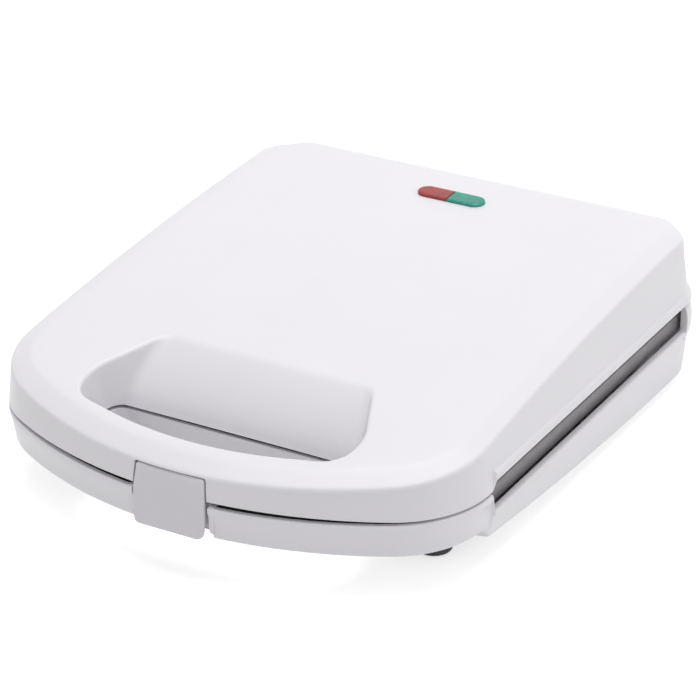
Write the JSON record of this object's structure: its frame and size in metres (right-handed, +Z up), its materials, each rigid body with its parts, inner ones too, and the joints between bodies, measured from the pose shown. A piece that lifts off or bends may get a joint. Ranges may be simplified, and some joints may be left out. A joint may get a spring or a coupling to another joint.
{
  "type": "sandwich toaster",
  "caption": "White countertop sandwich toaster with a hinged lid, non-stick plates with triangular pockets, a through hand grip and a front latch.",
  "frame": {"origin": "centre of the footprint's box on the table", "axes": "+X to the right seen from the latch, +Y from the latch to the hinge, +Z up"},
  "size_m": [0.2558, 0.317, 0.0864],
  "materials": {
    "white_shell": "satin",
    "latch_grey": "satin",
    "dark_cover": "moulded",
    "nonstick": "matt non-stick coating",
    "zinc_steel": "zinc plated",
    "reflector_sheet": "bright sheet",
    "element_steel": "heat tinted",
    "thermostat_body": "ceramic-like",
    "sleeve": "glass fibre sleeve",
    "terminal_white": "moulded",
    "inlet_black": "matt",
    "brass_tag": "plain",
    "red_lead": "insulation",
    "blue_lead": "insulation",
    "foot_rubber": "matt",
    "lens_red": "polished",
    "lens_green": "polished",
    "neon_glass": "clear"
  },
  "bodies": {
    "base": {"base_shell": "white_shell", "base_grip_cover": "dark_cover", "lower_plate": "nonstick", "lower_plate_screws": "zinc_steel", "lower_element": "element_steel", "lower_element_clips": "element_steel", "lower_reflector": "reflector_sheet", "thermostat": "thermostat_body", "thermal_fuse": "sleeve", "terminal_block": "terminal_white", "cord_inlet": "inlet_black", "earth_tag": "brass_tag", "base_wiring": "red_lead", "front_feet": "foot_rubber", "rear_feet": "foot_rubber", "hinge_housing": "white_shell", "hinge_pins": "zinc_steel", "housing_screws": "zinc_steel", "base_cover_screws": "zinc_steel"},
    "lid": {"lid_shell": "white_shell", "lid_grip_cover": "dark_cover", "upper_plate": "nonstick", "upper_plate_screws": "zinc_steel", "upper_element": "element_steel", "upper_element_clips": "element_steel", "upper_reflector": "reflector_sheet", "lens_red": "lens_red", "lens_green": "lens_green", "lamp_holder": "terminal_white", "neon_lamps": "neon_glass", "lid_wiring": "blue_lead", "hinge_arms": "zinc_steel", "hinge_arm_screws": "zinc_steel", "lid_cover_screws": "zinc_steel", "latch_bracket": "latch_grey", "bracket_screws": "zinc_steel", "latch_pin": "zinc_steel"},
    "latch": {"latch": "latch_grey"}
  },
  "joints": [
    {"name": "lid_hinge", "type": "hinge", "parent": "base", "child": "lid", "pos_m": [0, 0.14446, 0.043], "axis": [-1, 0, 0], "range_deg": [0, 100]},
    {"name": "latch_pivot", "type": "hinge", "parent": "lid", "child": "latch", "pos_m": [0, -0.15134, 0.049], "axis": [-1, 0, 0], "range_deg": [0, 20]}
  ]
}
